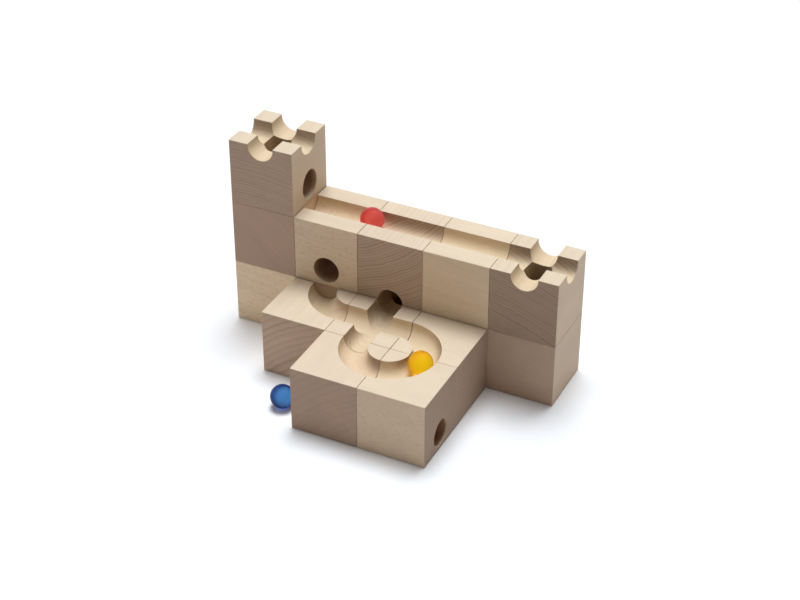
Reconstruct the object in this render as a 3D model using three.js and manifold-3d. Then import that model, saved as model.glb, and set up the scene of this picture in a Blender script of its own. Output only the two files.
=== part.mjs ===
// Marble run block set: a wall of wooden cubes with a start tower and an end tower, a floor of
// grooved cubes in front of it with a round track, and three balls.
// Millimetres, +Z up, the wall runs along X, the round track lies in front of it towards -Y.

import * as THREE from 'three';
import Module from 'manifold-3d';
import { mergeVertices } from 'three/addons/utils/BufferGeometryUtils.js';
import { ConvexGeometry } from 'three/addons/geometries/ConvexGeometry.js';

// Wooden cubes
const blockSize = 50;
const blockSeam = 0.3;
const edgeChamfer = 0.8;

// Balls, and the room that every groove and tunnel leaves around one
const ballRadius = 8.6;
const trackRoom = 1.4;
const ballClearance = 0.3;

// Straight wall above a groove's round bottom, and wood left under a tunnel
const grooveWall = 1;
const tunnelFloor = 2.5;

// Fall of the outlet under the start hole, in degrees, and how far a bore runs past a bend
const outletFall = 28;
const boreRunOut = 0.5;

// Where the balls lie
const redBallFromSeam = -0.85;
const yellowBallAngle = -8.1;
const blueBallFromBlock = 8.7;
const blueBallFromOutlet = -6.4;

// Facets
const grooveFacets = 9;
const boreFacets = 28;
const ringFacets = 52;
const ballFacets = 26;

// Cutters reach this far past the faces that they open
const overcut = 1;

const pitch = blockSize + blockSeam;
const half = blockSize / 2;
const trackRadius = ballRadius + trackRoom;
const grooveCentre = blockSize - grooveWall;
const tunnelHeight = tunnelFloor + trackRadius;
const fall = THREE.MathUtils.degToRad(outletFall);
const grooveBed = grooveCentre - trackRadius;
const ballHeightInGroove = grooveBed + ballClearance + ballRadius;

const beechColour = 0xdcc6a6;
const finish = { roughness: 0.62, metalness: 0 };
const beech = () => new THREE.MeshStandardMaterial({ color: beechColour, ...finish });
const satinGlass = (color) => new THREE.MeshStandardMaterial({ color, roughness: 0.5, metalness: 0 });

const wasm = await Module();
wasm.setup();

// A closed geometry as a solid that can be cut
function solidOf(geometry) {
  geometry.deleteAttribute('normal');
  geometry.deleteAttribute('uv');
  const merged = mergeVertices(geometry);
  return new wasm.Manifold(new wasm.Mesh({
    numProp: 3,
    vertProperties: new Float32Array(merged.attributes.position.array),
    triVerts: new Uint32Array(merged.index.array),
  }));
}

// A solid as a geometry that a mesh can show
function geometryOf(solid) {
  const { vertProperties, triVerts } = solid.getMesh();
  const geometry = new THREE.BufferGeometry();
  geometry.setAttribute('position', new THREE.BufferAttribute(vertProperties, 3));
  geometry.setIndex(new THREE.BufferAttribute(triVerts, 1));
  geometry.computeVertexNormals();
  return geometry;
}

// A cube with every edge broken, standing on its own bottom centre
function cube() {
  const inner = half - edgeChamfer;
  const corners = [];
  for (const x of [-1, 1]) {
    for (const y of [-1, 1]) {
      for (const z of [-1, 1]) {
        corners.push(new THREE.Vector3(x * half, y * inner, z * inner + half));
        corners.push(new THREE.Vector3(x * inner, y * half, z * inner + half));
        corners.push(new THREE.Vector3(x * inner, y * inner, z * half + half));
      }
    }
  }
  return solidOf(new ConvexGeometry(corners));
}

// The U-shaped section of a groove, with its round bottom, about a centre line
function grooveSection(centre) {
  const top = blockSize + overcut;
  const section = new THREE.Shape();
  section.moveTo(centre - trackRadius, top);
  section.lineTo(centre - trackRadius, grooveCentre);
  section.absarc(centre, grooveCentre, trackRadius, Math.PI, 2 * Math.PI, false);
  section.lineTo(centre + trackRadius, top);
  section.closePath();
  return section;
}

// A straight groove in the top, turned about Z, from one place along it to another
function groove(turn, from = -half - overcut, to = half + overcut) {
  const shape = new THREE.ExtrudeGeometry(grooveSection(0), {
    depth: to - from,
    bevelEnabled: false,
    curveSegments: grooveFacets,
  });
  shape.rotateX(Math.PI / 2).translate(0, to, 0).rotateZ(turn);
  return solidOf(shape);
}

const grooveAlongY = () => groove(0);
const grooveAlongX = () => groove(Math.PI / 2);

// A curved groove in the top, about the corner that the signs name
function curvedGroove(signX, signY) {
  const outline = grooveSection(pitch / 2).getPoints(grooveFacets);
  const ring = new THREE.LatheGeometry([...outline, outline[0]], ringFacets);
  ring.rotateX(Math.PI / 2).translate(signX * pitch / 2, signY * pitch / 2, 0);
  return solidOf(ring);
}

// A round bore between two points
function bore(from, to) {
  const start = new THREE.Vector3(...from);
  const end = new THREE.Vector3(...to);
  const along = new THREE.Vector3().subVectors(end, start);
  const up = new THREE.Vector3(0, 1, 0);
  const turn = new THREE.Quaternion().setFromUnitVectors(up, along.clone().normalize());
  const shape = new THREE.CylinderGeometry(trackRadius, trackRadius, along.length(), boreFacets);
  shape.applyQuaternion(turn);
  shape.translate(...start.add(end).multiplyScalar(0.5).toArray());
  return solidOf(shape);
}

const past = half + overcut;
const bend = trackRadius + boreRunOut;

// A tunnel from one side to the other, along Y
const tunnelAlongY = () => [bore([0, -past, tunnelHeight], [0, past, tunnelHeight])];

// A tunnel that comes in from +Y and leaves along X, or comes in from -Y with a sign of -1
const cornerTunnel = (signX, signY) => [
  bore([0, signY * past, tunnelHeight], [0, 0, tunnelHeight]),
  bore([-signX * bend, 0, tunnelHeight], [signX * past, 0, tunnelHeight]),
];

// A hole straight down from the top to a height
const dropHole = (bottom) => bore([0, 0, bottom], [0, 0, blockSize + overcut]);

// A drop hole that leaves level, towards the direction given
const dropToSide = (x, y) => [
  dropHole(tunnelHeight),
  bore([-x * bend, -y * bend, tunnelHeight], [x * past, y * past, tunnelHeight]),
];

// The start hole, which leaves towards +X down a sloped outlet
function startHole() {
  const outlet = tunnelFloor + trackRadius / Math.cos(fall);
  const rise = (x) => outlet + (half - x) * Math.tan(fall);
  const reach = past + trackRadius;
  return [
    dropHole(rise(0)),
    bore([-bend, 0, rise(-bend)], [reach, 0, rise(reach)]),
  ];
}

// A round-topped passage along Y in the underside
const archUnder = () => bore([0, -past, 0], [0, past, 0]);

const columnX = (column) => (column - 2) * pitch;
const rowY = (row) => (row - 1) * pitch;
const levelZ = (level) => level * blockSize;

const group = new THREE.Group();

// One named cube with its cuts, at its column, row and level
function addBlock(name, [column, row, level], cuts = []) {
  let body = cube();
  for (const cut of cuts) {
    body = body.subtract(cut);
  }
  const mesh = new THREE.Mesh(geometryOf(body), beech());
  mesh.name = name;
  mesh.position.set(columnX(column), rowY(row), levelZ(level));
  group.add(mesh);
}

// One named ball about its centre
function addBall(name, colour, centre) {
  const shape = new THREE.SphereGeometry(ballRadius, ballFacets, ballFacets / 2);
  shape.rotateX(Math.PI / 2);
  const mesh = new THREE.Mesh(geometryOf(solidOf(shape)), satinGlass(colour));
  mesh.name = name;
  mesh.position.set(...centre);
  group.add(mesh);
}

// Start tower
addBlock('tower_base_block', [0, 2, 0]);
addBlock('tower_middle_block', [0, 2, 1]);
addBlock('tower_start_block', [0, 2, 2], [grooveAlongX(), grooveAlongY(), ...startHole()]);

// Lower course of the wall
addBlock('wall_support_block', [1, 2, 0]);
addBlock('catch_block', [2, 2, 0], [groove(0, -past, 0), ...dropToSide(0, -1)]);
addBlock('corner_tunnel_block', [3, 2, 0], cornerTunnel(1, -1));
addBlock('end_tower_base_block', [4, 2, 0], dropToSide(-1, 0));

// Upper course of the wall, with the channel along its top
addBlock('tunnel_channel_block', [1, 2, 1], [grooveAlongX(), ...tunnelAlongY()]);
addBlock('bridge_channel_block', [2, 2, 1], [grooveAlongX(), archUnder()]);
addBlock('plain_channel_block', [3, 2, 1], [grooveAlongX()]);
addBlock('end_tower_drop_block', [4, 2, 1], [grooveAlongX(), grooveAlongY(), dropHole(-overcut)]);

// Floor in front of the wall, with the round track
addBlock('entry_curve_block', [1, 1, 0], [curvedGroove(1, 1)]);
addBlock('crossing_block', [2, 1, 0], [grooveAlongX(), grooveAlongY(), ...tunnelAlongY()]);
addBlock('circle_back_right_block', [3, 1, 0], [curvedGroove(-1, -1), ...tunnelAlongY()]);
addBlock('circle_front_left_block', [2, 0, 0], [curvedGroove(1, 1), ...cornerTunnel(-1, 1)]);
addBlock('circle_front_right_block', [3, 0, 0], [curvedGroove(-1, 1), ...cornerTunnel(1, 1)]);

// Red ball in the channel near the seam of its first two blocks
addBall('red_ball', 0xc8403a, [
  (columnX(1) + columnX(2)) / 2 + redBallFromSeam,
  rowY(2),
  levelZ(1) + ballHeightInGroove,
]);

// Yellow ball in the round track
const yellowAt = THREE.MathUtils.degToRad(yellowBallAngle);
addBall('yellow_ball', 0xf7c31c, [
  (columnX(2) + columnX(3)) / 2 + pitch / 2 * Math.cos(yellowAt),
  (rowY(0) + rowY(1)) / 2 + pitch / 2 * Math.sin(yellowAt),
  ballHeightInGroove,
]);

// Blue ball on the table, beside the left outlet
addBall('blue_ball', 0x2c5f9e, [
  columnX(2) - half - blueBallFromBlock - ballRadius,
  rowY(0) + blueBallFromOutlet,
  ballRadius,
]);

export default group;
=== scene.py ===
"""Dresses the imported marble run: sixteen beech cubes with ball tracks, and three balls.

Lengths are millimetres, and metres in the studio. A finished piece is in metres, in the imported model's
frame.
"""

from __future__ import annotations

import logging
import math
from dataclasses import dataclass
from enum import Enum, IntEnum
from typing import Protocol, Union

import bmesh
import bpy
import numpy as np
from mathutils import Euler, Matrix, Vector


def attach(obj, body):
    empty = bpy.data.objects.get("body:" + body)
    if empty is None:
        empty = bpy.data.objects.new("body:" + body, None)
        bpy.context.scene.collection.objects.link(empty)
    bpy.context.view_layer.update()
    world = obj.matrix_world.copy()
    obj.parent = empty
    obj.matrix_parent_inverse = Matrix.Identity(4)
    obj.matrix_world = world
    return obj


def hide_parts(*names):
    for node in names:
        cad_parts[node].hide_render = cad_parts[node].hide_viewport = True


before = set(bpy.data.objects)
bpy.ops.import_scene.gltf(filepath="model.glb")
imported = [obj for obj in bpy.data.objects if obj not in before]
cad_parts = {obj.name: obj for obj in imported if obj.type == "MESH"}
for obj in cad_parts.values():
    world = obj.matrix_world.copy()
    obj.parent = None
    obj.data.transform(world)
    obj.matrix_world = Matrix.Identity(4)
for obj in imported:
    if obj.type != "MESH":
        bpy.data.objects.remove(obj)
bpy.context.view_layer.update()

LOG = logging.getLogger("marble_run")
METRES = 0.001

Span = tuple[float, float]
Triple = tuple[float, float, float]
Socket = bpy.types.NodeSocket
Value = Union[Socket, float, Triple, Vector, Euler]

X_WAY = (1.0, 0.0, 0.0)
Y_WAY = (0.0, 1.0, 0.0)
Z_WAY = (0.0, 0.0, 1.0)
ORIGIN = (0.0, 0.0, 0.0)
QUARTER_TURN = math.pi / 2


class Axis(IntEnum):
    """An axis of the frame, by its place in a point."""

    X = 0
    Y = 1
    Z = 2


class Face(Enum):
    """A side of a cube, as the axis that it faces along and the sign of that axis."""

    LEFT = (Axis.X, -1.0)
    RIGHT = (Axis.X, 1.0)
    FRONT = (Axis.Y, -1.0)
    BACK = (Axis.Y, 1.0)
    BOTTOM = (Axis.Z, -1.0)
    TOP = (Axis.Z, 1.0)


class Corner(Enum):
    """An upright edge of a cube that a groove turns about, as the signs of X and Y."""

    FRONT_LEFT = (-1.0, -1.0)
    BACK_LEFT = (-1.0, 1.0)
    BACK_RIGHT = (1.0, 1.0)


class Grain(Enum):
    """The way that the fibres of a cube run, as two axes across them and one along them."""

    ALONG_X = ((0.0, 1.0, 0.0), (0.0, 0.0, 1.0), (1.0, 0.0, 0.0))
    ALONG_Y = ((1.0, 0.0, 0.0), (0.0, 0.0, 1.0), (0.0, -1.0, 0.0))


@dataclass(frozen=True)
class Timber:
    """Sizes that all the cubes share, in millimetres, measured from a cube's middle.

    The sides swell a little into the seams, and the top and bottom keep a small gap to other cubes.
    """

    size: float = 50.0
    seam: float = 0.3
    edge: float = 0.48
    swell: float = 0.06
    rest_gap: float = 0.05
    edge_steps: int = 5
    track_radius: float = 10.0
    groove_wall: float = 1.0
    tunnel_floor: float = 2.5
    outlet_fall: float = 28.0
    bend_run_out: float = 0.5
    lip: float = 0.4
    lip_stop: float = math.radians(65.0)
    lip_steps: int = 6
    overcut: float = 1.0
    bed_steps: int = 32
    bore_steps: int = 56
    curve_steps: int = 40
    row_spacing: float = 5.0
    wall_match: float = 0.05

    @property
    def half(self) -> float:
        """Half of a cube's side."""
        return self.size / 2

    @property
    def pitch(self) -> float:
        """From the middle of one cube to the next."""
        return self.size + self.seam

    @property
    def past(self) -> float:
        """Where a cutter ends outside the face that it opens."""
        return self.half + self.overcut

    @property
    def tunnel_height(self) -> float:
        """Height of a level tunnel's middle line above the cube's middle."""
        return self.tunnel_floor + self.track_radius - self.half

    @property
    def groove_bed(self) -> float:
        """Height of a groove's lowest line above the cube's middle."""
        return self.half - self.groove_wall - self.track_radius

    @property
    def bend(self) -> float:
        """How far a bore runs past the middle where it meets another."""
        return self.track_radius + self.bend_run_out

    def lip_offset(self, depth: np.ndarray) -> np.ndarray:
        """Widening of a cutter at a depth below the face that it opens.

        A quarter round of the lip's radius, followed up to the stop angle and then along its tangent, so
        that the cutter meets the face at a clear angle.

        Args:
            depth: distances below the face, negative outside it.

        Returns:
            The widening at each depth.
        """
        stop_depth = self.lip * (1 - math.sin(self.lip_stop))
        stop_offset = self.lip * (1 - math.cos(self.lip_stop))
        inside = np.clip(self.lip - depth, 0.0, self.lip - stop_depth)
        rounded = self.lip - np.sqrt(self.lip**2 - inside**2)
        beyond = np.clip(stop_depth - depth, 0.0, self.overcut)
        return np.where(depth > stop_depth, rounded, stop_offset + beyond * math.tan(self.lip_stop))

    def lip_rows(self) -> np.ndarray:
        """Places along a cutter as it nears a face at half a side, rising, with the last one outside."""
        turn = np.linspace(0.0, self.lip_stop, self.lip_steps)
        return np.append(self.half - self.lip + self.lip * np.sin(turn), self.past)

    def run(self, start: float, end: float) -> np.ndarray:
        """Places along a straight cutter, close together where it leaves the cube.

        Args:
            start: first place; a place outside the cube gets a lip.
            end: last place.

        Returns:
            The places in rising order.
        """
        first = -self.lip_rows()[::-1] if start < -self.half else np.array([start])
        last = self.lip_rows() if end > self.half else np.array([end])
        length = last[0] - first[-1]
        between = np.linspace(first[-1], last[0], math.ceil(length / self.row_spacing) + 1)[1:-1]
        return np.concatenate([first, between, last])


TIMBER = Timber()


@dataclass(frozen=True)
class Sweep:
    """A closed section carried along a path, as points and outward directions.

    Both are in rows along the path by columns round it.
    """

    points: np.ndarray
    outward: np.ndarray
    exits: tuple[Face, ...]

    def with_lips(self) -> np.ndarray:
        """Points moved outwards by the lip's widening at every face that the cutter leaves by.

        Returns:
            The points in rows along the path.
        """
        widening = np.zeros(self.points.shape[:2])
        for face in self.exits:
            axis, sign = face.value
            widening += TIMBER.lip_offset(TIMBER.half - sign * self.points[..., axis])
        return self.points + self.outward * widening[..., None]


class Cut(Protocol):
    """Something milled or drilled out of a cube."""

    def sweep(self) -> Sweep:
        """The cutter's surface about the cube's middle."""


def groove_section() -> tuple[np.ndarray, np.ndarray, np.ndarray, np.ndarray]:
    """The U of a groove: a half round bed with straight walls up past the top face.

    Returns:
        Places across and heights, and the outward direction's parts across and upwards.
    """
    bed_height = TIMBER.half - TIMBER.groove_wall
    wall_heights = TIMBER.lip_rows()[::-1]
    turn = np.linspace(math.pi, 2 * math.pi, TIMBER.bed_steps + 1)
    bed_across = TIMBER.track_radius * np.cos(turn)
    bed_heights = bed_height + TIMBER.track_radius * np.sin(turn)
    side = np.full(len(wall_heights), TIMBER.track_radius)
    level = np.zeros(len(wall_heights))
    across = np.concatenate([-side, bed_across, side])
    heights = np.concatenate([wall_heights, bed_heights, wall_heights[::-1]])
    out_across = np.concatenate([level - 1, np.cos(turn), level + 1])
    out_up = np.concatenate([level, np.sin(turn), level])
    return across, heights, out_across, out_up


@dataclass(frozen=True)
class StraightGroove:
    """A groove in the top face, along X or along Y."""

    along: Grain
    start: float = -TIMBER.past
    end: float = TIMBER.past

    def sweep(self) -> Sweep:
        """The U section carried along a straight line.

        Returns:
            The cutter's surface.
        """
        across, heights, out_across, out_up = groove_section()
        place, width = np.meshgrid(TIMBER.run(self.start, self.end), across, indexing="ij")
        height = np.broadcast_to(heights, place.shape)
        sideways = np.broadcast_to(out_across, place.shape)
        upwards = np.broadcast_to(out_up, place.shape)
        points = np.stack([place, width, height], -1)
        outward = np.stack([np.zeros(place.shape), sideways, upwards], -1)
        ends = (Face.LEFT, Face.RIGHT)
        if self.along is Grain.ALONG_Y:
            swapped = [Axis.Y, Axis.X, Axis.Z]
            points = points[..., swapped]
            outward = outward[..., swapped]
            ends = (Face.FRONT, Face.BACK)
        opened = [end for end, at in zip(ends, (-self.start, self.end)) if at > TIMBER.half]
        return Sweep(points, outward, (Face.TOP, *opened))


@dataclass(frozen=True)
class CurvedGroove:
    """A quarter turn of a groove in the top face, about an upright edge of the cube."""

    corner: Corner

    def sweep(self) -> Sweep:
        """The U section carried round a quarter circle, with close rows where it leaves the cube.

        Returns:
            The cutter's surface.
        """
        across, heights, out_across, out_up = groove_section()
        radius = TIMBER.pitch / 2
        gap = TIMBER.seam / 2
        near = np.arcsin((TIMBER.half - TIMBER.lip_rows() + gap) / radius)[::-1]
        middle = np.linspace(near[-1], QUARTER_TURN - near[-1], TIMBER.curve_steps)[1:-1]
        turns = np.concatenate([near, middle, QUARTER_TURN - near[::-1]])
        turn, width = np.meshgrid(turns, across, indexing="ij")
        sign_x, sign_y = self.corner.value
        way_x = -sign_x * np.cos(turn)
        way_y = -sign_y * np.sin(turn)
        reach = radius + width
        height = np.broadcast_to(heights, turn.shape)
        upwards = np.broadcast_to(out_up, turn.shape)
        points = np.stack([sign_x * radius + reach * way_x, sign_y * radius + reach * way_y, height], -1)
        outward = np.stack([out_across * way_x, out_across * way_y, upwards], -1)
        side_x = Face.RIGHT if sign_x > 0 else Face.LEFT
        side_y = Face.BACK if sign_y > 0 else Face.FRONT
        return Sweep(points, outward, (Face.TOP, side_x, side_y))


@dataclass(frozen=True)
class Bore:
    """A round hole along a line. It starts square to itself and leaves square to one of the cube's axes.

    The painted shade rate is how fast painted shade darkens the wall with depth into the hole, where
    little light reaches.
    """

    through: Triple
    way: Triple
    axis: Axis
    start: float
    end: float
    exits: tuple[Face, ...]
    painted_shade_rate: float = 1.0

    # Rates of painted shade in a hole: how fast its wall darkens with depth.
    SLOW_PAINTED_SHADE = 0.25
    SLOPE_PAINTED_SHADE = 1.7
    FAST_PAINTED_SHADE = 3.5
    STEEP = 0.9

    def sweep(self) -> Sweep:
        """A circle carried along the line, with rows that come square to the axis by the end.

        Returns:
            The cutter's surface.
        """
        way = np.array(self.way) / np.linalg.norm(self.way)
        helper = Z_WAY if abs(way[Axis.Z]) < self.STEEP else X_WAY
        first = np.cross(way, helper)
        first /= np.linalg.norm(first)
        second = np.cross(way, first)
        turn = np.linspace(0.0, 2 * math.pi, TIMBER.bore_steps, endpoint=False)
        spokes = np.cos(turn)[:, None] * first + np.sin(turn)[:, None] * second
        rows = TIMBER.run(self.start, self.end)
        rim = TIMBER.track_radius * spokes
        through = np.array(self.through)
        squared = np.clip((rows - self.start) / (TIMBER.half - TIMBER.lip - self.start), 0.0, 1.0)
        ahead = squared[:, None] * rim[:, self.axis]
        slide = (rows[:, None] - through[self.axis] - ahead) / way[self.axis]
        points = through + rim[None] + slide[..., None] * way
        outward = np.broadcast_to(spokes, points.shape)
        return Sweep(points, outward, self.exits)

    def depth_at(self, points: np.ndarray) -> np.ndarray:
        """How far in from the hole's mouth each point lies, and nought for a point off its wall.

        An upright hole has its upper mouth at the groove's bed.

        Args:
            points: points about the cube's middle.

        Returns:
            The depths.
        """
        way = np.array(self.way) / np.linalg.norm(self.way)
        offset = points - np.array(self.through)
        reach = np.linalg.norm(offset - np.outer(offset @ way, way), axis=1)
        exits = [face.value for face in self.exits]
        depths = [TIMBER.half - sign * points[:, axis] for axis, sign in exits]
        if self.axis is Axis.Z:
            depths.append(TIMBER.groove_bed - points[:, Axis.Z])
        inside = np.clip(np.min(depths, axis=0), 0.0, None)
        return np.where(np.abs(reach - TIMBER.track_radius) < TIMBER.wall_match, inside, 0.0)


def tunnel_along_y() -> tuple[Cut, ...]:
    """A level tunnel from the front face to the back face."""
    centre = (0.0, 0.0, TIMBER.tunnel_height)
    return (Bore(centre, Y_WAY, Axis.Y, -TIMBER.past, TIMBER.past, (Face.FRONT, Face.BACK)),)


def level_branch(face: Face, inner: float) -> Bore:
    """A level bore from inside the cube out through a side face.

    Args:
        face: the side that it leaves by.
        inner: how far past the middle it starts.

    Returns:
        The bore.
    """
    axis, sign = face.value
    way = X_WAY if axis is Axis.X else Y_WAY
    ends = sorted((-sign * inner, sign * TIMBER.past))
    centre = (0.0, 0.0, TIMBER.tunnel_height)
    return Bore(centre, way, axis, ends[0], ends[1], (face,), Bore.FAST_PAINTED_SHADE)


def corner_tunnel(entry: Face, leave: Face) -> tuple[Cut, ...]:
    """A level tunnel that comes in by one side and leaves by another, round a corner."""
    return (level_branch(entry, 0.0), level_branch(leave, TIMBER.bend))


def drop_hole(bottom: float, exits: tuple[Face, ...] = (), painted_shade_rate: float = 1.0) -> Bore:
    """A hole from the top down to a height, through the middle of the cube."""
    return Bore(ORIGIN, Z_WAY, Axis.Z, bottom, TIMBER.past, exits, painted_shade_rate)


def drop_to_side(face: Face) -> tuple[Cut, ...]:
    """A hole from the top that leaves level by a side."""
    return (drop_hole(TIMBER.tunnel_height), level_branch(face, TIMBER.bend))


def start_hole() -> tuple[Cut, ...]:
    """The hole in the start cube, which leaves to the right down a sloped outlet.

    Returns:
        The drop hole and the outlet.
    """
    fall = math.radians(TIMBER.outlet_fall)
    outlet = TIMBER.tunnel_floor + TIMBER.track_radius / math.cos(fall) - TIMBER.half
    middle = outlet + TIMBER.half * math.tan(fall)
    slope = Bore(
        (0.0, 0.0, middle),
        (math.cos(fall), 0.0, -math.sin(fall)),
        Axis.X,
        TIMBER.track_radius * math.sin(fall) - TIMBER.bend,
        TIMBER.past,
        (Face.RIGHT,),
        Bore.SLOPE_PAINTED_SHADE,
    )
    return (drop_hole(middle, painted_shade_rate=Bore.SLOW_PAINTED_SHADE), slope)


def arch_under() -> tuple[Cut, ...]:
    """A round-topped passage along Y in the underside.

    Returns:
        The bore that makes it.
    """
    exits = (Face.FRONT, Face.BACK, Face.BOTTOM)
    middle = (0.0, 0.0, -TIMBER.half)
    return (Bore(middle, Y_WAY, Axis.Y, -TIMBER.past, TIMBER.past, exits, Bore.SLOW_PAINTED_SHADE),)


GROOVE_X = StraightGroove(Grain.ALONG_X)
GROOVE_Y = StraightGroove(Grain.ALONG_Y)

# How near two points of a ring mesh are when they merge, and how thin a sliver is, in the points' unit
RING_WELD = 1e-5
RING_SLIVER = 1e-6


def grid_quads(rows: int, columns: int) -> np.ndarray:
    """Corner numbers of the quads of a grid whose columns close into a ring.

    Args:
        rows: rows of points.
        columns: points in a row.

    Returns:
        One line of four numbers for each quad.
    """
    row, column = np.meshgrid(np.arange(rows - 1), np.arange(columns), indexing="ij")
    beside = (column + 1) % columns
    lower = row * columns
    upper = lower + columns
    corners = [lower + column, lower + beside, upper + beside, upper + column]
    return np.stack(corners, -1).reshape(-1, 4)


def ring_mesh(name: str, points: np.ndarray) -> bpy.types.Mesh:
    """A closed mesh from rings of points: quads between the rings, and a face across each end.

    Args:
        name: the mesh's name.
        points: rows of rings of points.

    Returns:
        The mesh, with doubled points merged and its faces turned outwards.
    """
    rows, columns = points.shape[:2]
    ends = [list(range(columns)), list(range((rows - 1) * columns, rows * columns))]
    mesh = bpy.data.meshes.new(name)
    mesh.from_pydata(points.reshape(-1, 3).tolist(), [], grid_quads(rows, columns).tolist() + ends)
    work = bmesh.new()
    work.from_mesh(mesh)
    bmesh.ops.remove_doubles(work, verts=work.verts, dist=RING_WELD)
    bmesh.ops.dissolve_degenerate(work, edges=work.edges, dist=RING_SLIVER)
    bmesh.ops.recalc_face_normals(work, faces=work.faces)
    work.to_mesh(mesh)
    work.free()
    return mesh


def rounded_cube_points() -> np.ndarray:
    """Rings of a cube with rounded edges: a ball of the edge's radius pulled apart at its eight octants.

    A point lies at its octant's centre plus the edge's radius times its direction.

    Returns:
        Rows from the bottom to the top by columns round the cube.
    """
    quarter = np.linspace(0.0, QUARTER_TURN, TIMBER.edge_steps)
    starts = np.arange(4) * QUARTER_TURN
    around = np.concatenate([quarter + start for start in starts])
    middle = np.repeat(starts + QUARTER_TURN / 2, TIMBER.edge_steps)
    upwards = np.concatenate([quarter - QUARTER_TURN, quarter])
    level = np.repeat([-1.0, 1.0], TIMBER.edge_steps)
    inner = TIMBER.half - TIMBER.edge
    sides = inner + TIMBER.swell
    tall = inner - TIMBER.rest_gap
    rise, turn = np.meshgrid(upwards, around, indexing="ij")
    ball = np.stack([np.cos(rise) * np.cos(turn), np.cos(rise) * np.sin(turn), np.sin(rise)], -1)
    octant_x = np.broadcast_to(np.sign(np.cos(middle)), rise.shape)
    octant_y = np.broadcast_to(np.sign(np.sin(middle)), rise.shape)
    octant_z = np.broadcast_to(level[:, None], rise.shape)
    return np.stack([sides * octant_x, sides * octant_y, tall * octant_z], -1) + TIMBER.edge * ball


def placed_object(name: str, mesh: bpy.types.Mesh) -> bpy.types.Object:
    """An object at the origin that shows a mesh.

    Args:
        name: the object's name.
        mesh: the mesh.

    Returns:
        The object.
    """
    piece = bpy.data.objects.new(name, mesh)
    bpy.context.scene.collection.objects.link(piece)
    return piece


class Graph:
    """Short ways to add nodes to a node tree and to join them."""

    def __init__(self, tree: bpy.types.NodeTree) -> None:
        """Keeps the tree that the nodes go into."""
        self.tree = tree

    def feed(self, socket: Socket, value: Value) -> None:
        """Joins a socket to another one, or sets its value.

        Args:
            socket: the socket that takes the value.
            value: another socket, a number, three numbers or a turn.
        """
        if isinstance(value, bpy.types.NodeSocket):
            self.tree.links.new(value, socket)
        elif isinstance(value, tuple) and socket.type == "RGBA":
            socket.default_value = (*value, 1.0)
        else:
            socket.default_value = value

    def node(self, kind: str, *values: Value, **settings: object) -> bpy.types.Node:
        """Adds a node.

        Args:
            kind: the node's type.
            values: what its first inputs take, in order.
            settings: its own settings by name.

        Returns:
            The node.
        """
        made = self.tree.nodes.new(kind)
        for name, setting in settings.items():
            setattr(made, name, setting)
        for socket, value in zip(made.inputs, values):
            self.feed(socket, value)
        return made

    def math(self, operation: str, *values: Value) -> Socket:
        """A number worked out from one, two or three others."""
        return self.node("ShaderNodeMath", *values, operation=operation).outputs[0]

    def vector(self, operation: str, *values: Value) -> Socket:
        """A vector worked out from one or two others, or a number for a length or a dot product."""
        made = self.node("ShaderNodeVectorMath", *values, operation=operation)
        return made.outputs["Value" if operation in ("LENGTH", "DOT_PRODUCT") else "Vector"]

    def swing(self, value: Value, width: Value) -> Socket:
        """A value from 0 to 1 as a swing of a width about nought."""
        return self.math("MULTIPLY", self.math("SUBTRACT", value, 0.5), width)

    def ramp(self, value: Value, span: Span, falling: bool = False) -> Socket:
        """A number eased from 0 to 1, or from 1 to 0 where it falls, while a value crosses a span."""
        ends = (*span, float(falling), float(not falling))
        return self.node("ShaderNodeMapRange", value, *ends, interpolation_type="SMOOTHSTEP").outputs[0]

    def mix(self, amount: Value, first: Value, second: Value, blend: str = "MIX") -> Socket:
        """Goes from one colour towards another, or towards the blend of the two.

        Args:
            amount: how far it goes.
            first: the colour that it starts from.
            second: the other colour.
            blend: how the two are blended.

        Returns:
            The colour.
        """
        made = self.node("ShaderNodeMix", amount, data_type="RGBA", blend_type=blend)
        colours = [socket for socket in made.inputs if socket.type == "RGBA"]
        self.feed(colours[0], first)
        self.feed(colours[1], second)
        return next(socket for socket in made.outputs if socket.type == "RGBA")

    def tint(self, amount: Value, colour: Value, tint: Value) -> Socket:
        """A colour multiplied by a tint, as far as an amount says."""
        return self.mix(amount, colour, tint, "MULTIPLY")

    def noise(self, place: Value, scale: float = 1.0, detail: float = 2.0, rough: float = 0.5) -> Socket:
        """Cloudy noise from 0 to 1, of a scale in clouds to a millimetre. Its W input stays at nought."""
        values = (place, 0.0, scale, detail, rough)
        return self.node("ShaderNodeTexNoise", *values, noise_dimensions="3D").outputs["Fac"]

    def split(self, place: Value) -> tuple[Socket, ...]:
        """The three parts of a vector."""
        return tuple(self.node("ShaderNodeSeparateXYZ", place).outputs)

    def join(self, *parts: Value) -> Socket:
        """A vector from its three parts."""
        return self.node("ShaderNodeCombineXYZ", *parts).outputs[0]


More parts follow.
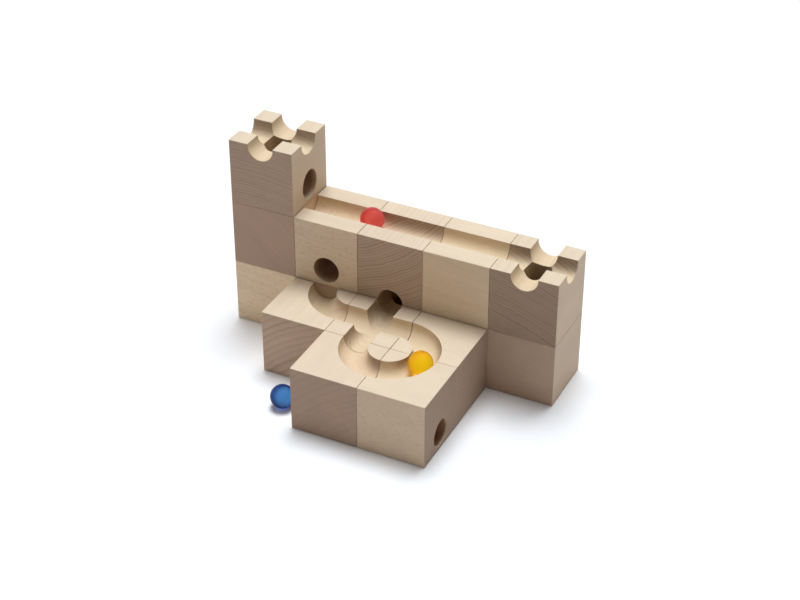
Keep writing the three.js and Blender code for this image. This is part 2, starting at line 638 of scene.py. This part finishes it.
class Surface(Graph):
    """A material under construction, with its shader and the coordinates of the piece that wears it."""

    TO_MILLIMETRES = (1 / METRES,) * 3

    def __init__(self, name: str) -> None:
        """Makes the material."""
        self.material = bpy.data.materials.new(name)
        self.material.use_nodes = True
        super().__init__(self.material.node_tree)
        self.shader = self.tree.nodes["Principled BSDF"].inputs
        self.coordinates = self.node("ShaderNodeTexCoord").outputs

    def place(self, shift: Vector, turn: Matrix) -> Socket:
        """The piece's own coordinates in millimetres, after a turn and a shift."""
        values = (self.coordinates["Object"], shift, turn.to_euler("XYZ"), self.TO_MILLIMETRES)
        return self.node("ShaderNodeMapping", *values, vector_type="POINT").outputs[0]

    def dress(self, looks: tuple[Socket, Socket, Socket], strength: float, height: float) -> None:
        """Feeds the shader.

        Args:
            looks: the colour, the roughness and the relief.
            strength: how strong the relief is.
            height: how high the relief is, in millimetres.
        """
        colour, roughness, relief = looks
        bump = self.node("ShaderNodeBump")
        bump.inputs["Strength"].default_value = strength
        bump.inputs["Distance"].default_value = height * METRES
        self.feed(bump.inputs["Height"], relief)
        self.feed(self.shader["Base Color"], colour)
        self.feed(self.shader["Roughness"], roughness)
        self.feed(self.shader["Normal"], bump.outputs["Normal"])


class BeechSurface(Surface):
    """The marks of beech. They are worked out in millimetres, with Z along the fibres.

    A stretch is how many marks there are to a millimetre each way, and a span is where a mark begins and
    where it is full.
    """

    ACROSS = (1.0, 1.0, 0.0)
    RING_STRETCH = (1.0, 1.0, 0.08)
    RING_BENDS = 0.05
    YEAR_STEP = 0.37
    YEAR_SWING = 1.6
    FAINTEST_RING = 0.4
    LATE_WOOD = (0.35, 0.88)
    RING_END = (0.90, 1.0)
    STREAK_STRETCH = (1.7, 1.7, 0.045)
    BAND_STRETCH = (0.09, 0.09, 0.018)
    PORE_STRETCH = (6.5, 6.5, 0.45)
    PORE_SPAN = (0.58, 0.72)
    FLECK_STRETCH = (0.80, 0.14, 0.0)
    FLECK_SPAN = (0.12, 0.30)
    FLECK_CHOICE = (0.35, 0.9)
    FLECK_FACING = (0.6, 0.85)
    END_SPAN = (0.35, 0.95)
    BAND_TONE = 0.16
    STREAK_TONE = 0.10
    SIDE_LINE = 0.35
    SIDE_LINE_TINT = (0.80, 0.72, 0.66)
    FLECK_TINT = (0.70, 0.60, 0.52)
    END_LINE_TINT = (0.66, 0.60, 0.57)
    PORE_TONE = 0.25
    PORE_TINT = (0.72, 0.68, 0.66)
    # Painted shade: deeper in a groove the wood turns warmer and a little darker, standing in for warm
    # light bounced inside it.
    GROOVE_PAINTED_SHADE_SPAN = (0.3, 5.0)
    GROOVE_PAINTED_SHADE_TINT = (1.0, 0.965, 0.88)
    # Painted shade: the wall of a hole darkens with depth, where little light reaches.
    BORE_PAINTED_SHADE_SPAN = (0.5, 8.0)
    BORE_PAINTED_SHADE_TINT = (0.53, 0.40, 0.34)
    SIDE_ROUGHNESS = 0.50
    END_ROUGHER = 0.10
    STREAK_ROUGHER = 0.10
    STREAK_HEIGHT = 0.8
    LINE_DEPTH = 0.3
    PORE_DEPTH = 0.6
    FLECK_DEPTH = 0.5

    def __init__(self, name: str, saw: BeechCut, centre: Triple) -> None:
        """Makes the material and finds the marks in the places that the saw left them.

        Args:
            name: the material's name.
            saw: how the cube was sawn.
            centre: the cube's middle, in millimetres.
        """
        super().__init__(name)
        turn = saw.turn()
        place = self.place(-(turn @ Vector(centre)) - Vector((*saw.pith, 0.0)), turn)
        rings = self.growth_rings(place, saw.ring_width, saw.wander)
        rays = self.ray_flecks(place, turn, math.hypot(*saw.pith))
        self.line = self.math("MULTIPLY", rings, saw.ring_strength)
        streaks = self.vector("MULTIPLY", place, self.STREAK_STRETCH)
        self.streak = self.noise(streaks, detail=3.0, rough=0.6)
        self.band = self.noise(self.vector("MULTIPLY", place, self.BAND_STRETCH))
        pores = self.noise(self.vector("MULTIPLY", place, self.PORE_STRETCH), detail=1.0)
        self.pore = self.ramp(pores, self.PORE_SPAN)
        self.fleck = self.math("MULTIPLY", rays, saw.flecks)
        fibre_way = tuple(turn.transposed() @ Vector(Z_WAY))
        facing = self.vector("DOT_PRODUCT", self.coordinates["Normal"], fibre_way)
        self.end = self.ramp(self.math("ABSOLUTE", facing), self.END_SPAN)

    def growth_rings(self, place: Socket, width: float, wander: float) -> Socket:
        """Rings about the log's middle: each darkens slowly outwards and stops at a clear line.

        Args:
            place: where they are read.
            width: the usual width of a ring.
            wander: how far a ring strays.

        Returns:
            How strong the line is.
        """
        bends = self.noise(self.vector("MULTIPLY", place, self.RING_STRETCH), self.RING_BENDS)
        radius = self.vector("LENGTH", self.vector("MULTIPLY", place, self.ACROSS))
        count = self.math("DIVIDE", self.math("ADD", radius, self.swing(bends, wander)), width)
        years = self.noise(self.join(self.math("MULTIPLY", count, self.YEAR_STEP), 0.0, 0.0), detail=1.0)
        count = self.math("ADD", count, self.swing(years, self.YEAR_SWING))
        phase = self.math("FRACT", count)
        chance = self.node("ShaderNodeTexWhiteNoise", noise_dimensions="1D")
        self.feed(chance.inputs["W"], self.math("FLOOR", count))
        faintest = self.FAINTEST_RING
        strength = self.math("MULTIPLY_ADD", chance.outputs["Value"], 1 - faintest, faintest)
        rise = self.ramp(phase, self.LATE_WOOD)
        stop = self.ramp(phase, self.RING_END, falling=True)
        return self.math("MULTIPLY", self.math("MULTIPLY", rise, stop), strength)

    def ray_flecks(self, place: Socket, turn: Matrix, log_radius: float) -> Socket:
        """Rays: thin ribbons out from the log's middle, seen as dashes on a face that cuts them.

        Args:
            place: where they are read.
            turn: the turn that brings the fibres to Z.
            log_radius: from the log's middle to the cube's.

        Returns:
            How strong the dash is.
        """
        across, up, along = self.split(place)
        outward = self.vector("NORMALIZE", self.join(across, up, 0.0))
        values = (self.coordinates["Normal"], ORIGIN, turn.to_euler("XYZ"))
        normal = self.node("ShaderNodeMapping", *values, vector_type="VECTOR").outputs[0]
        facing = self.math("ABSOLUTE", self.vector("DOT_PRODUCT", normal, outward))
        around = self.math("MULTIPLY", self.math("ARCTAN2", up, across), log_radius)
        spread = self.vector("MULTIPLY", self.join(around, along, 0.0), self.FLECK_STRETCH)
        cells = self.node("ShaderNodeTexVoronoi", spread, voronoi_dimensions="2D", feature="F1")
        cells.inputs["Scale"].default_value = 1.0
        chosen = self.ramp(self.split(cells.outputs["Color"])[0], self.FLECK_CHOICE)
        shape = self.ramp(cells.outputs["Distance"], self.FLECK_SPAN, falling=True)
        shown = self.math("MULTIPLY", chosen, self.ramp(facing, self.FLECK_FACING))
        return self.math("MULTIPLY", shape, shown)

    def colour(self, wood: Triple, end_tint: Triple) -> Socket:
        """The colour of sawn wood, with painted shade deeper in the grooves and deeper in the holes.

        Args:
            wood: the ground colour.
            end_tint: what end grain multiplies it by.

        Returns:
            The colour.
        """
        tone = self.math("MULTIPLY_ADD", self.band, self.BAND_TONE, 1 - self.BAND_TONE / 2)
        tone = self.math("ADD", tone, self.swing(self.streak, self.STREAK_TONE))
        ground = self.vector("SCALE", wood)
        self.feed(ground.node.inputs["Scale"], tone)
        side = self.tint(self.math("MULTIPLY", self.line, self.SIDE_LINE), ground, self.SIDE_LINE_TINT)
        side = self.mix(self.fleck, side, self.tint(1.0, ground, self.FLECK_TINT))
        end = self.tint(self.line, self.tint(1.0, ground, end_tint), self.END_LINE_TINT)
        end = self.tint(self.math("MULTIPLY", self.pore, self.PORE_TONE), end, self.PORE_TINT)
        colour = self.mix(self.end, side, end)
        # Painted shade that deepens with depth into the grooves and into the holes.
        for name, span, tint in (
            (BeechCut.GROOVE_DEPTH, self.GROOVE_PAINTED_SHADE_SPAN, self.GROOVE_PAINTED_SHADE_TINT),
            (BeechCut.BORE_PAINTED_SHADE, self.BORE_PAINTED_SHADE_SPAN, self.BORE_PAINTED_SHADE_TINT),
        ):
            depth = self.node("ShaderNodeAttribute", attribute_name=name).outputs["Fac"]
            colour = self.tint(self.ramp(depth, span), colour, tint)
        return colour

    def roughness(self) -> Socket:
        """The roughness, which grows on end grain and along the streaks."""
        sawn = self.math("MULTIPLY_ADD", self.end, self.END_ROUGHER, self.SIDE_ROUGHNESS)
        return self.math("MULTIPLY_ADD", self.streak, self.STREAK_ROUGHER, sawn)

    def relief(self) -> Socket:
        """The height of the surface: streaks stand up, and lines, pores and flecks lie low.

        Returns:
            The height, in parts of the relief's.
        """
        height = self.math("MULTIPLY", self.streak, self.STREAK_HEIGHT)
        marks = (self.line, self.pore, self.fleck)
        for mark, depth in zip(marks, (self.LINE_DEPTH, self.PORE_DEPTH, self.FLECK_DEPTH)):
            height = self.math("MULTIPLY_ADD", mark, -depth, height)
        return height


@dataclass(frozen=True)
class BeechCut:
    """How one cube was sawn from its log, and its own shade.

    The pith is the log's middle, from the cube's middle, in millimetres along the axes across the fibres.
    """

    grain: Grain
    pith: tuple[float, float]
    ring_width: float = 2.3
    ring_strength: float = 0.7
    wander: float = 3.0
    lean: float = 0.0
    shade: float = 1.0
    blush: float = 0.0
    flecks: float = 0.15
    end_shade: float = 1.0

    BORE_PAINTED_SHADE = "bore_painted_shade"
    GROOVE_DEPTH = "groove_depth"
    WOOD = (0.775, 0.63, 0.445)
    END_TINT = (0.665, 0.62, 0.63)
    BLUSH = (1.0, 0.955, 0.975)
    RELIEF_STRENGTH = 0.25
    RELIEF_HEIGHT = 0.06
    GLARE = 0.3

    def turn(self) -> Matrix:
        """The turn that brings the fibres to Z, after the lean of the grain about Y."""
        return Matrix(self.grain.value) @ Matrix.Rotation(math.radians(self.lean), 3, "Y")

    def wood(self) -> Triple:
        """The cube's own ground colour."""
        parts = zip(self.WOOD, self.BLUSH)
        return tuple(self.shade * ground * (1 + self.blush * (tint - 1)) for ground, tint in parts)

    def material(self, name: str, centre: Triple) -> bpy.types.Material:
        """The cube's material.

        Args:
            name: the material's name.
            centre: the cube's middle, in millimetres.

        Returns:
            The material.
        """
        surface = BeechSurface(name, self, centre)
        colour = surface.colour(self.wood(), tuple(self.end_shade * part for part in self.END_TINT))
        looks = (colour, surface.roughness(), surface.relief())
        surface.dress(looks, self.RELIEF_STRENGTH, self.RELIEF_HEIGHT)
        surface.shader["Specular IOR Level"].default_value = self.GLARE
        return surface.material


@dataclass(frozen=True)
class Cube:
    """One beech cube of the set, by its column, row and level, with what was cut out of it.

    Points nearer than the weld merge, and faces thinner than the sliver go, both in millimetres.
    """

    node: str
    place: tuple[int, int, int]
    saw: BeechCut
    cuts: tuple[Cut, ...] = ()

    MIDDLE_COLUMN = 2
    MIDDLE_ROW = 1
    WELD = 0.003
    SLIVER = 0.002
    SHARP_FROM = math.radians(40.0)
    FACE_WEIGHT = 100

    @property
    def centre(self) -> Triple:
        """The cube's middle in the frame, in millimetres."""
        column, row, level = self.place
        return (
            (column - self.MIDDLE_COLUMN) * TIMBER.pitch,
            (row - self.MIDDLE_ROW) * TIMBER.pitch,
            level * TIMBER.size + TIMBER.half,
        )

    def carve(self) -> bpy.types.Mesh:
        """The rounded cube with every cutter taken out of it, about its middle, in millimetres.

        Returns:
            The carved mesh.
        """
        blank = ring_mesh(self.node + "_blank", rounded_cube_points())
        body = placed_object(blank.name, blank)
        cutters = []
        for number, cut in enumerate(self.cuts):
            mesh = ring_mesh(f"{self.node}_cutter_{number}", cut.sweep().with_lips())
            cutters.append(placed_object(mesh.name, mesh))
            step = body.modifiers.new(f"cut_{number}", "BOOLEAN")
            step.operation = "DIFFERENCE"
            step.solver = "EXACT"
            step.object = cutters[-1]
        shaped = body.evaluated_get(bpy.context.evaluated_depsgraph_get())
        carved = bpy.data.meshes.new_from_object(shaped)
        for spare in (body, *cutters):
            mesh = spare.data
            bpy.data.objects.remove(spare)
            bpy.data.meshes.remove(mesh)
        return carved

    def mark_cuts(self, mesh: bpy.types.Mesh) -> None:
        """Stores how deep each point lies in a hole, times its rate of painted shade, and how deep below
        the top.

        Args:
            mesh: the carved cube about its middle, in millimetres.
        """
        points = np.empty(3 * len(mesh.vertices))
        mesh.vertices.foreach_get("co", points)
        points = points.reshape(-1, 3)
        bores = [cut for cut in self.cuts if isinstance(cut, Bore)]
        depths = [bore.painted_shade_rate * bore.depth_at(points) for bore in bores]
        within = np.abs(points[:, :2]).max(axis=1) < TIMBER.half - TIMBER.lip / 2
        below = np.clip(TIMBER.half - points[:, Axis.Z], 0.0, TIMBER.half - TIMBER.groove_bed)
        marks = {
            BeechCut.BORE_PAINTED_SHADE: np.max([np.zeros(len(points)), *depths], axis=0),
            BeechCut.GROOVE_DEPTH: np.where(within, below, 0.0),
        }
        for name, values in marks.items():
            mesh.attributes.new(name, "FLOAT", "POINT").data.foreach_set("value", values)

    def build(self) -> bpy.types.Object:
        """Carves the cube, sets it in its place and gives it its finish.

        Returns:
            The finished piece.
        """
        mesh = self.carve()
        mesh.name = self.node + "_wood"
        work = bmesh.new()
        work.from_mesh(mesh)
        bmesh.ops.remove_doubles(work, verts=work.verts, dist=self.WELD)
        bmesh.ops.dissolve_degenerate(work, edges=work.edges, dist=self.SLIVER)
        work.to_mesh(mesh)
        work.free()
        self.mark_cuts(mesh)
        mesh.transform(Matrix.Scale(METRES, 4) @ Matrix.Translation(self.centre))
        mesh.shade_smooth()
        mesh.set_sharp_from_angle(angle=self.SHARP_FROM)
        mesh.materials.clear()
        mesh.materials.append(self.saw.material(self.node + "_beech", self.centre))
        piece = placed_object(self.node + "_wood", mesh)
        even = piece.modifiers.new("even_shading", "WEIGHTED_NORMAL")
        even.mode = "FACE_AREA"
        even.weight = self.FACE_WEIGHT
        even.keep_sharp = True
        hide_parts(self.node)
        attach(piece, self.node)
        return piece


@dataclass(frozen=True)
class GlassFinish:
    """Satin coloured glass of a deep colour, with painted light: it is paler where its surface faces
    along a given way or against it.
    """

    name: str
    pale: Triple
    deep: Triple
    clear: float
    roughness: float = 0.5
    painted_light_way: Triple = (0.62, -0.62, 0.48)

    INDEX = 1.5
    GLARE = 0.2
    CLOUD_SCALE = 0.16
    GRIT_SCALE = 2.4
    PAINTED_LIGHT_SWING = 0.3
    PAINTED_LIGHT_SPAN = (0.35, 0.92)
    GRIT_GLOSS = 0.12
    GRIT_HEIGHT = 0.25
    RELIEF_STRENGTH = 0.08
    RELIEF_HEIGHT = 0.05

    def material(self, centre: Triple) -> bpy.types.Material:
        """Painted light in pale patches with cloudy edges, and the slight unevenness of a satin surface.

        Args:
            centre: the ball's centre, in millimetres.

        Returns:
            The material.
        """
        surface = Surface(self.name)
        place = surface.place(-Vector(centre), Matrix.Identity(3))
        clouds = surface.noise(place, self.CLOUD_SCALE)
        grit = surface.noise(place, self.GRIT_SCALE)
        # Painted light: paler towards both ends of a fixed way on the ball, as if lit from there.
        towards = surface.vector("DOT_PRODUCT", surface.vector("NORMALIZE", place), self.painted_light_way)
        swing = surface.swing(clouds, self.PAINTED_LIGHT_SWING)
        along = surface.math("ADD", surface.math("ABSOLUTE", towards), swing)
        colour = surface.mix(surface.ramp(along, self.PAINTED_LIGHT_SPAN), self.deep, self.pale)
        gloss = surface.math("ADD", self.roughness, surface.swing(grit, self.GRIT_GLOSS))
        relief = surface.math("MULTIPLY_ADD", grit, self.GRIT_HEIGHT, clouds)
        surface.dress((colour, gloss, relief), self.RELIEF_STRENGTH, self.RELIEF_HEIGHT)
        surface.shader["Transmission Weight"].default_value = self.clear
        surface.shader["IOR"].default_value = self.INDEX
        surface.shader["Specular IOR Level"].default_value = self.GLARE
        surface.shader["Specular Tint"].default_value = (*self.deep, 1.0)
        return surface.material


@dataclass(frozen=True)
class Ball:
    """One of the balls, about its centre in millimetres."""

    node: str
    centre: Triple
    finish: GlassFinish
    radius: float = 8.6
    round_steps: int = 96
    rise_steps: int = 49

    def surface(self) -> np.ndarray:
        """Rings of a ball: the centre plus the radius times the direction at each latitude and longitude.

        Returns:
            Rows of rings of points, from the bottom to the top.
        """
        rise, turn = np.meshgrid(
            np.linspace(-QUARTER_TURN, QUARTER_TURN, self.rise_steps),
            np.linspace(0.0, 2 * math.pi, self.round_steps, endpoint=False),
            indexing="ij",
        )
        way = np.stack([np.cos(rise) * np.cos(turn), np.cos(rise) * np.sin(turn), np.sin(rise)], -1)
        return np.array(self.centre) + self.radius * way

    def build(self) -> bpy.types.Object:
        """Makes the ball and gives it its glass.

        Returns:
            The finished piece.
        """
        mesh = ring_mesh(self.node + "_glass", self.surface() * METRES)
        mesh.shade_smooth()
        mesh.materials.append(self.finish.material(self.centre))
        piece = placed_object(self.node + "_glass", mesh)
        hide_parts(self.node)
        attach(piece, self.node)
        return piece


@dataclass(frozen=True)
class SoftLamp:
    """A far softbox: the way to it, how wide it looks in degrees, its strength and its colour."""

    name: str
    way: Triple
    width: float
    strength: float
    colour: Triple = (0.95, 1.0, 1.09)

    def build(self) -> bpy.types.Object:
        """Makes the lamp.

        Returns:
            The lamp.
        """
        data = bpy.data.lights.new(self.name, "SUN")
        data.angle = math.radians(self.width)
        data.energy = self.strength
        data.color = self.colour
        lamp = bpy.data.objects.new(self.name, data)
        lamp.location = self.way
        lamp.rotation_euler = Vector(self.way).to_track_quat("Z", "Y").to_euler()
        bpy.context.scene.collection.objects.link(lamp)
        return lamp


@dataclass(frozen=True)
class Studio:
    """The camera, the pale floor and the soft light."""

    eye: Triple = (0.474738, -0.931817, 0.762912)
    azimuth: float = 25.992
    elevation: float = 33.638
    roll: float = 0.112
    focal_pixels: float = 1823.06
    picture_width: float = 800.0
    sensor: float = 36.0
    nearest: float = 0.01
    farthest: float = 50.0
    floor_half: float = 3.0
    floor_drop: float = 0.00005
    floor_bounce: Triple = (0.87, 0.765, 0.72)
    floor_shown: Triple = (0.985, 0.980, 0.952)
    floor_lift: float = 0.02
    sky_light: float = 0.06
    lamps: tuple[SoftLamp, ...] = (
        SoftLamp("key", (-0.09, 0.38, 1.6), 26.0, 1.84),
        SoftLamp("overhead", (-0.06, 0.28, 1.6), 40.0, 1.03),
        SoftLamp("back", (0.3, 1.0, 1.2), 27.0, 0.20),
        SoftLamp("left", (-1.5, 0.2, 0.65), 28.0, 0.50),
        SoftLamp("left_front", (-1.0, -1.2, 1.0), 28.0, 0.15),
    )

    def camera(self) -> bpy.types.Object:
        """The camera at the photograph's viewing angle.

        Returns:
            The camera.
        """
        data = bpy.data.cameras.new("photo_camera")
        data.sensor_fit = "HORIZONTAL"
        data.sensor_width = self.sensor
        data.lens = self.focal_pixels / self.picture_width * self.sensor
        data.clip_start = self.nearest
        data.clip_end = self.farthest
        around = math.radians(self.azimuth)
        above = math.radians(self.elevation)
        reach = math.cos(above)
        forward = Vector((-math.sin(around) * reach, math.cos(around) * reach, -math.sin(above)))
        right = Vector((math.cos(around), math.sin(around), 0.0))
        level = Matrix((right, right.cross(forward), -forward)).transposed()
        turn = level @ Matrix.Rotation(math.radians(self.roll), 3, "Z")
        view = bpy.data.objects.new("photo_camera", data)
        view.matrix_world = Matrix.Translation(self.eye) @ turn.to_4x4()
        bpy.context.scene.collection.objects.link(view)
        bpy.context.scene.camera = view
        return view

    @staticmethod
    def seen(net: Graph) -> Socket:
        """Tells the rays that show a thing from the light that bounces off it.

        Args:
            net: the graph that needs to know.

        Returns:
            One for rays from the camera and for mirrored and passed-through rays, and nought for others.
        """
        path = net.node("ShaderNodeLightPath").outputs
        mirrored = net.math("MAXIMUM", path["Is Glossy Ray"], path["Is Transmission Ray"])
        return net.math("MAXIMUM", path["Is Camera Ray"], mirrored)

    def floor(self) -> bpy.types.Object:
        """The floor: white where it is seen and nothing shades it, and warmer to light that bounces.

        Returns:
            The floor.
        """
        half = self.floor_half
        square = ((-half, -half), (half, -half), (half, half), (-half, half))
        mesh = bpy.data.meshes.new("studio_floor")
        mesh.from_pydata([(x, y, -self.floor_drop) for x, y in square], [], [(0, 1, 2, 3)])
        made = bpy.data.materials.new("studio_floor")
        made.use_nodes = True
        tree = made.node_tree
        tree.nodes.remove(tree.nodes["Principled BSDF"])
        net = Graph(tree)
        bounce = net.node("ShaderNodeBsdfDiffuse", self.floor_bounce).outputs[0]
        shown = net.node("ShaderNodeBsdfDiffuse", self.floor_shown).outputs[0]
        lift = net.node("ShaderNodeEmission")
        lift.inputs["Strength"].default_value = self.floor_lift
        pale = net.node("ShaderNodeAddShader", shown, lift.outputs[0]).outputs[0]
        choice = net.node("ShaderNodeMixShader", self.seen(net), bounce, pale).outputs[0]
        net.feed(tree.nodes["Material Output"].inputs["Surface"], choice)
        mesh.materials.append(made)
        floor = placed_object("studio_floor", mesh)
        return floor

    def sky(self) -> bpy.types.World:
        """A white backdrop where it is seen, and a faint even light where it isn't.

        Returns:
            The world.
        """
        world = bpy.data.worlds.new("studio_sky")
        world.use_nodes = True
        net = Graph(world.node_tree)
        shown = world.node_tree.nodes["Background"]
        net.feed(shown.inputs["Strength"], net.math("MAXIMUM", self.sky_light, self.seen(net)))
        net.feed(shown.inputs["Color"], (1.0, 1.0, 1.0))
        bpy.context.scene.world = world
        return world

    def build(self) -> None:
        """Sets up the view, the floor and the light."""
        self.camera()
        self.floor()
        self.sky()
        for lamp in self.lamps:
            lamp.build()
        bpy.context.scene.view_settings.view_transform = "Standard"


CUBES = (
    Cube(
        "tower_base_block",
        (0, 2, 0),
        BeechCut(Grain.ALONG_X, (-120.0, 35.0), lean=-7.0, shade=1.26, blush=-0.4, flecks=0.65),
    ),
    Cube(
        "tower_middle_block",
        (0, 2, 1),
        BeechCut(Grain.ALONG_Y, (-105.0, -120.0), 2.0, 0.45, shade=1.05, blush=0.8),
    ),
    Cube(
        "tower_start_block",
        (0, 2, 2),
        BeechCut(Grain.ALONG_Y, (-12.0, -147.0), 2.4, 0.6),
        (GROOVE_X, GROOVE_Y, *start_hole()),
    ),
    Cube("wall_support_block", (1, 2, 0), BeechCut(Grain.ALONG_Y, (90.0, 70.0), ring_strength=0.25)),
    Cube(
        "catch_block",
        (2, 2, 0),
        BeechCut(Grain.ALONG_X, (100.0, -60.0)),
        (StraightGroove(Grain.ALONG_Y, end=0.0), *drop_to_side(Face.FRONT)),
    ),
    Cube(
        "corner_tunnel_block",
        (3, 2, 0),
        BeechCut(Grain.ALONG_Y, (80.0, 90.0)),
        corner_tunnel(Face.FRONT, Face.RIGHT),
    ),
    Cube(
        "end_tower_base_block",
        (4, 2, 0),
        BeechCut(Grain.ALONG_Y, (110.0, -95.0), 3.2, 0.1, shade=0.92, end_shade=1.24),
        drop_to_side(Face.LEFT),
    ),
    Cube(
        "tunnel_channel_block",
        (1, 2, 1),
        BeechCut(Grain.ALONG_X, (-110.0, 60.0), lean=-7.0, shade=1.02, blush=0.3, flecks=0.65),
        (GROOVE_X, *tunnel_along_y()),
    ),
    Cube(
        "bridge_channel_block",
        (2, 2, 1),
        BeechCut(Grain.ALONG_Y, (-58.0, 104.0), 2.2, 0.9, shade=1.03, blush=0.5),
        (GROOVE_X, *arch_under()),
    ),
    Cube(
        "plain_channel_block",
        (3, 2, 1),
        BeechCut(Grain.ALONG_X, (-140.0, -25.0), lean=-7.0, shade=1.03, flecks=0.25),
        (GROOVE_X,),
    ),
    Cube(
        "end_tower_drop_block",
        (4, 2, 1),
        BeechCut(Grain.ALONG_Y, (-78.0, -238.0), 2.3, 0.85, end_shade=0.86),
        (GROOVE_X, GROOVE_Y, drop_hole(-TIMBER.past, (Face.BOTTOM,), Bore.SLOW_PAINTED_SHADE)),
    ),
    Cube(
        "entry_curve_block",
        (1, 1, 0),
        BeechCut(Grain.ALONG_Y, (98.0, -151.0), 4.6, 0.6, end_shade=1.28),
        (CurvedGroove(Corner.BACK_RIGHT),),
    ),
    Cube(
        "crossing_block",
        (2, 1, 0),
        BeechCut(Grain.ALONG_X, (45.0, -115.0), 2.4, 0.8),
        (GROOVE_X, GROOVE_Y, *tunnel_along_y()),
    ),
    Cube(
        "circle_back_right_block",
        (3, 1, 0),
        BeechCut(Grain.ALONG_X, (-95.0, -80.0), 2.6, 0.2, end_shade=0.90),
        (CurvedGroove(Corner.FRONT_LEFT), *tunnel_along_y()),
    ),
    Cube(
        "circle_front_left_block",
        (2, 0, 0),
        BeechCut(Grain.ALONG_Y, (92.0, -118.0), 5.0, 0.2, blush=0.6, end_shade=0.96),
        (CurvedGroove(Corner.BACK_RIGHT), *corner_tunnel(Face.BACK, Face.LEFT)),
    ),
    Cube(
        "circle_front_right_block",
        (3, 0, 0),
        BeechCut(Grain.ALONG_X, (-125.0, 20.0), 2.6, 0.2, lean=-9.0, flecks=0.6, end_shade=0.86),
        (CurvedGroove(Corner.BACK_LEFT), *corner_tunnel(Face.BACK, Face.RIGHT)),
    ),
)

BALLS = (
    Ball(
        "red_ball",
        (-26.0, 50.3, 97.9),
        GlassFinish("red_glass", (1.0, 0.29, 0.28), (0.80, 0.09, 0.095), 0.95),
    ),
    Ball(
        "yellow_ball",
        (50.049, -28.694, 47.9),
        GlassFinish("yellow_glass", (1.0, 0.79, 0.02), (1.0, 0.53, 0.008), 0.97),
    ),
    Ball(
        "blue_ball",
        (-42.3, -56.7, 8.6),
        GlassFinish("blue_glass", (0.085, 0.26, 0.56), (0.001, 0.018, 0.13), 0.85),
    ),
)


def main() -> None:
    """Sets up the studio, then builds the cubes and the balls, and reports each piece."""
    logging.basicConfig(level=logging.INFO, format="%(name)s: %(message)s")
    Studio().build()
    for part in (*CUBES, *BALLS):
        piece = part.build()
        LOG.info("%s: %d faces", piece.name, len(piece.data.polygons))


if __name__ == "__main__":
    main()
